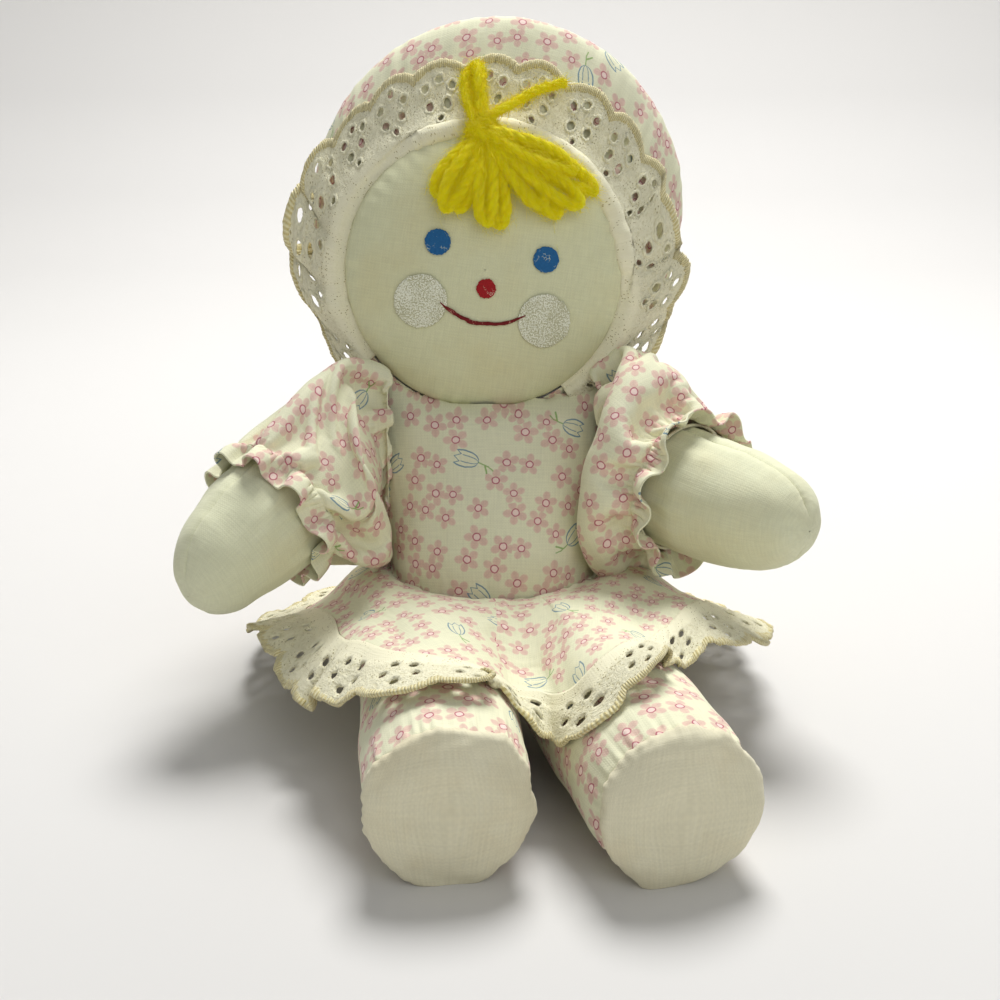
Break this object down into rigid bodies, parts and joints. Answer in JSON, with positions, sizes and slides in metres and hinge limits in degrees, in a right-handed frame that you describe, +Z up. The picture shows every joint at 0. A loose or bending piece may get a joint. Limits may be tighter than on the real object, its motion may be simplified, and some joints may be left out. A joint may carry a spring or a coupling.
{
  "type": "plush doll rattle",
  "caption": "Seated cloth baby doll with a lace-edged bonnet, puff sleeves, a lace-hemmed skirt and a rattle capsule in its stuffed body.",
  "frame": {"origin": "middle of the flat underside of the seat", "axes": "+Z up, the doll looks along -Y and its own left is +X"},
  "size_m": [0.1695, 0.196, 0.1833],
  "materials": {
    "muslin": "plain woven cream cotton, slightly yellowed",
    "sole_muslin": "plain woven pinkish cream cotton",
    "printed_cotton": "woven cotton with a small all-over print of pink flowers and tulips",
    "eyelet_cotton": "ivory embroidered eyelet cotton with a corded scalloped edge",
    "fibre_filling": "loose white polyester fibre",
    "blue_flock": "raised blue print, slightly worn",
    "red_flock": "raised red print, slightly worn",
    "dark_red_flock": "raised dark red line, slightly worn",
    "white_flock": "whitish print worn to speckles",
    "yarn": "bright yellow plied knitting yarn, a little fuzzy",
    "elastic": "covered elastic thread",
    "capsule_plastic": "moulded, natural white",
    "bead_plastic": "moulded, smooth"
  },
  "bodies": {
    "torso": {"bodice_front": "printed_cotton", "bodice_back": "printed_cotton", "torso_filling_front": "fibre_filling", "torso_filling_back": "fibre_filling", "rattle_shell_upper": "capsule_plastic", "rattle_shell_lower": "capsule_plastic", "sleeve_left": "printed_cotton", "sleeve_right": "printed_cotton", "skirt": "printed_cotton", "skirt_lace": "eyelet_cotton"},
    "head": {"face_panel": "muslin", "bonnet_crown": "printed_cotton", "bonnet_lace": "eyelet_cotton", "head_filling": "fibre_filling", "eye_print_left": "blue_flock", "eye_print_right": "blue_flock", "nose_print": "red_flock", "mouth_print": "dark_red_flock", "cheek_print_left": "white_flock", "cheek_print_right": "white_flock", "forelock_loops": "yarn", "forelock_tie": "yarn"},
    "arm_left": {"arm_panel_front_left": "muslin", "arm_panel_back_left": "muslin", "arm_filling_left": "fibre_filling", "cuff_frill_left": "printed_cotton", "cuff_elastic_left": "elastic"},
    "arm_right": {"arm_panel_front_right": "muslin", "arm_panel_back_right": "muslin", "arm_filling_right": "fibre_filling", "cuff_frill_right": "printed_cotton", "cuff_elastic_right": "elastic"},
    "leg_left": {"leg_cover_left": "printed_cotton", "leg_sole_left": "sole_muslin", "leg_filling_left": "fibre_filling"},
    "leg_right": {"leg_cover_right": "printed_cotton", "leg_sole_right": "sole_muslin", "leg_filling_right": "fibre_filling"},
    "bead_1": {"rattle_bead_1": "bead_plastic"},
    "bead_2": {"rattle_bead_2": "bead_plastic"},
    "bead_3": {"rattle_bead_3": "bead_plastic"},
    "bead_4": {"rattle_bead_4": "bead_plastic"},
    "bead_5": {"rattle_bead_5": "bead_plastic"},
    "bead_6": {"rattle_bead_6": "bead_plastic"}
  },
  "joints": [
    {"name": "head_nod", "type": "hinge", "parent": "torso", "child": "head", "pos_m": [0, 0.018, 0.077], "axis": [1, 0, 0], "range_deg": [-15, 15], "deforming": ["bonnet_lace"]},
    {"name": "arm_left_swing", "type": "hinge", "parent": "torso", "child": "arm_left", "pos_m": [0.0352, 0.003, 0.064], "axis": [0, 0, 1], "range_deg": [-20, 50], "deforming": ["sleeve_left", "cuff_frill_left"]},
    {"name": "arm_right_swing", "type": "hinge", "parent": "torso", "child": "arm_right", "pos_m": [-0.0352, 0.006, 0.069], "axis": [0, 0, 1], "range_deg": [-50, 20], "deforming": ["sleeve_right", "cuff_frill_right"]},
    {"name": "leg_left_fold", "type": "hinge", "parent": "torso", "child": "leg_left", "pos_m": [0.0185, -0.028, 0.019], "axis": [1, 0, 0], "range_deg": [0, 70], "deforming": ["skirt", "skirt_lace"]},
    {"name": "leg_right_fold", "type": "hinge", "parent": "torso", "child": "leg_right", "pos_m": [-0.0185, -0.028, 0.019], "axis": [1, 0, 0], "range_deg": [0, 70], "deforming": ["skirt", "skirt_lace"]},
    {"name": "bead_1_shake", "type": "slide", "parent": "torso", "child": "bead_1", "axis": [0, 0, 1], "range_m": [0, 0.0254]},
    {"name": "bead_2_shake", "type": "slide", "parent": "torso", "child": "bead_2", "axis": [0, 0, 1], "range_m": [0, 0.0206]},
    {"name": "bead_3_shake", "type": "slide", "parent": "torso", "child": "bead_3", "axis": [0, 0, 1], "range_m": [0, 0.0206]},
    {"name": "bead_4_shake", "type": "slide", "parent": "torso", "child": "bead_4", "axis": [0, 0, 1], "range_m": [0, 0.0206]},
    {"name": "bead_5_shake", "type": "slide", "parent": "torso", "child": "bead_5", "axis": [0, 0, 1], "range_m": [0, 0.0206]},
    {"name": "bead_6_shake", "type": "slide", "parent": "torso", "child": "bead_6", "axis": [0, 0, 1], "range_m": [0, 0.0206]}
  ],
  "couplings": [
    {"joint": "bead_2_shake", "follows": "bead_1_shake", "ratio": 0.81},
    {"joint": "bead_3_shake", "follows": "bead_1_shake", "ratio": 0.81},
    {"joint": "bead_4_shake", "follows": "bead_1_shake", "ratio": 0.81},
    {"joint": "bead_5_shake", "follows": "bead_1_shake", "ratio": 0.81},
    {"joint": "bead_6_shake", "follows": "bead_1_shake", "ratio": 0.81}
  ]
}
